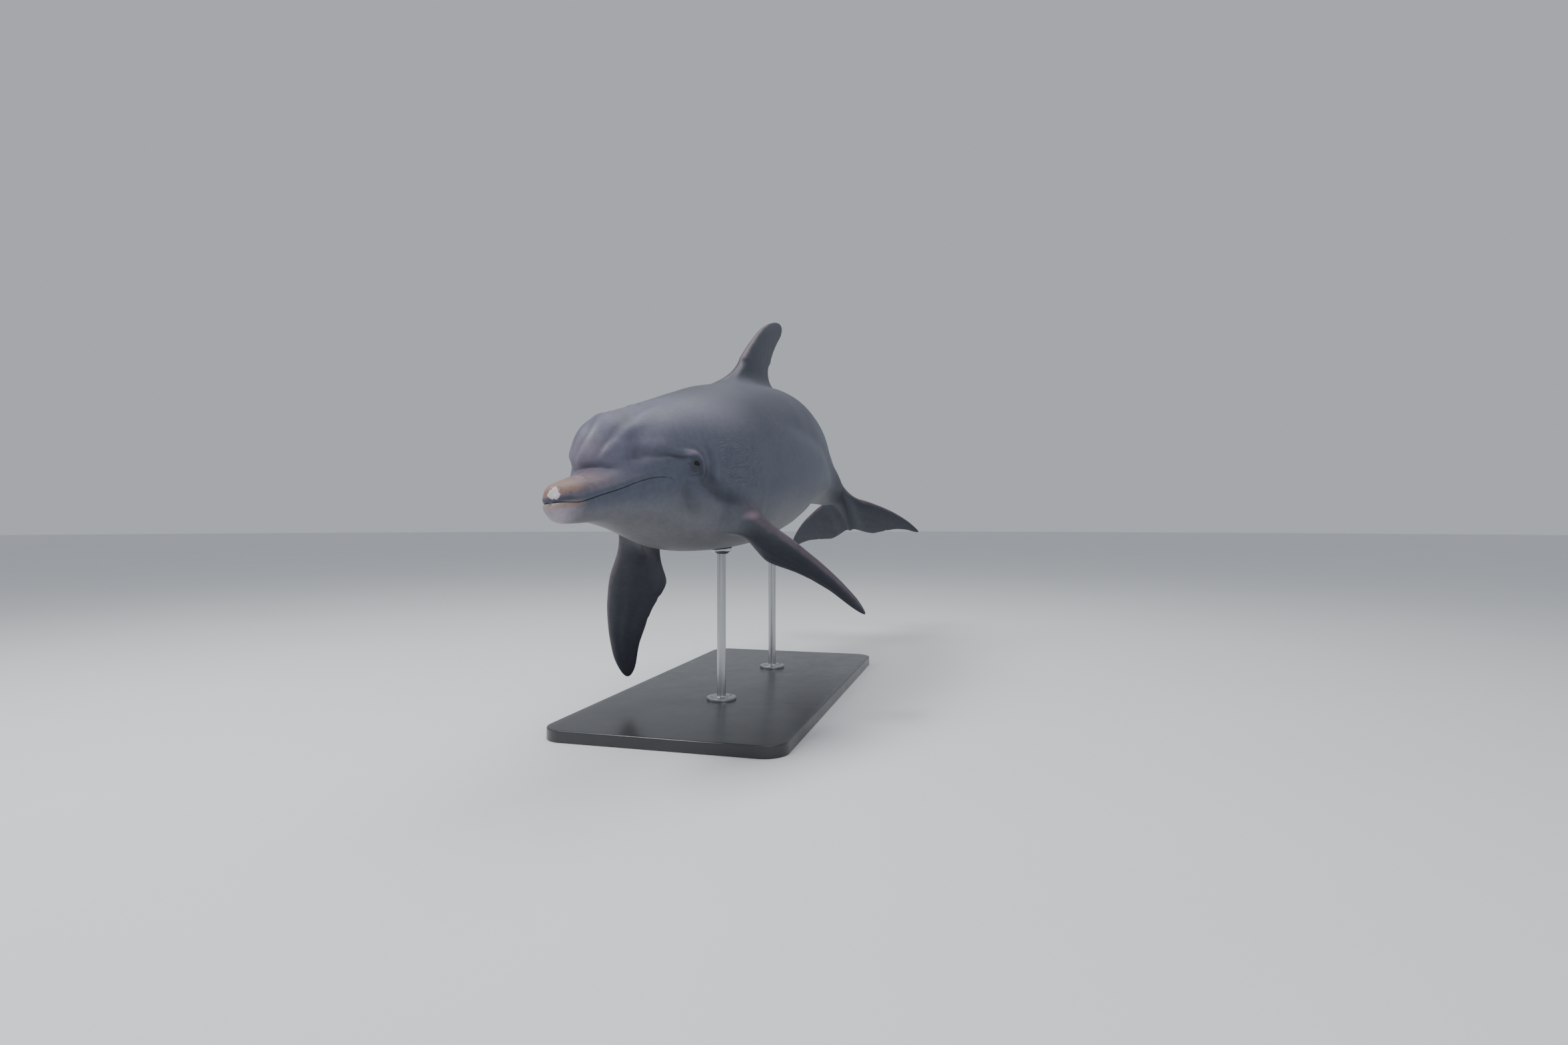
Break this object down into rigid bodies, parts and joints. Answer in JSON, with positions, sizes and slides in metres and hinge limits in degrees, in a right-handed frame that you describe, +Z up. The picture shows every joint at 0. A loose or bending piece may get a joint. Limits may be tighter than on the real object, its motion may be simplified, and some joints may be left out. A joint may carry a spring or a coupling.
{
  "type": "bottlenose dolphin model on a display stand",
  "caption": "Life-size still model of a swimming bottlenose dolphin with bent tail and spread flippers, held over a flat base plate by slim steel rods for museum display",
  "frame": {"origin": "on the floor, under the centre of the whole model's bounding box", "axes": "+Z up; the dolphin faces -Y and its left side is towards +X"},
  "size_m": [0.7456, 2.4072, 1.2645],
  "materials": {
    "skin_grey": "smooth wet-looking skin, satin",
    "skin_dark": "smooth dark skin, satin",
    "skin_pale": "smooth pale skin, satin",
    "beak_tan": "worn tan skin, satin",
    "eye": "polished, glossy",
    "stand_steel": "fine brushed",
    "stand_base": "satin black powder coat"
  },
  "bodies": {
    "root": {"head": "skin_grey", "melon": "skin_grey", "upper_jaw": "beak_tan", "lower_jaw": "skin_pale", "blowhole": "skin_dark", "chest": "skin_grey", "abdomen": "skin_grey", "tail_stock": "skin_grey", "dorsal_fin": "skin_dark", "flipper_left": "skin_dark", "flipper_right": "skin_dark", "fluke_left": "skin_dark", "fluke_right": "skin_dark", "eye_left": "eye", "eye_right": "eye", "stand_base": "stand_base", "stand_rod_front": "stand_steel", "stand_rod_rear": "stand_steel", "stand_cup_front": "stand_steel", "stand_cup_rear": "stand_steel", "stand_flange_front": "stand_steel", "stand_flange_rear": "stand_steel"}
  },
  "joints": []
}
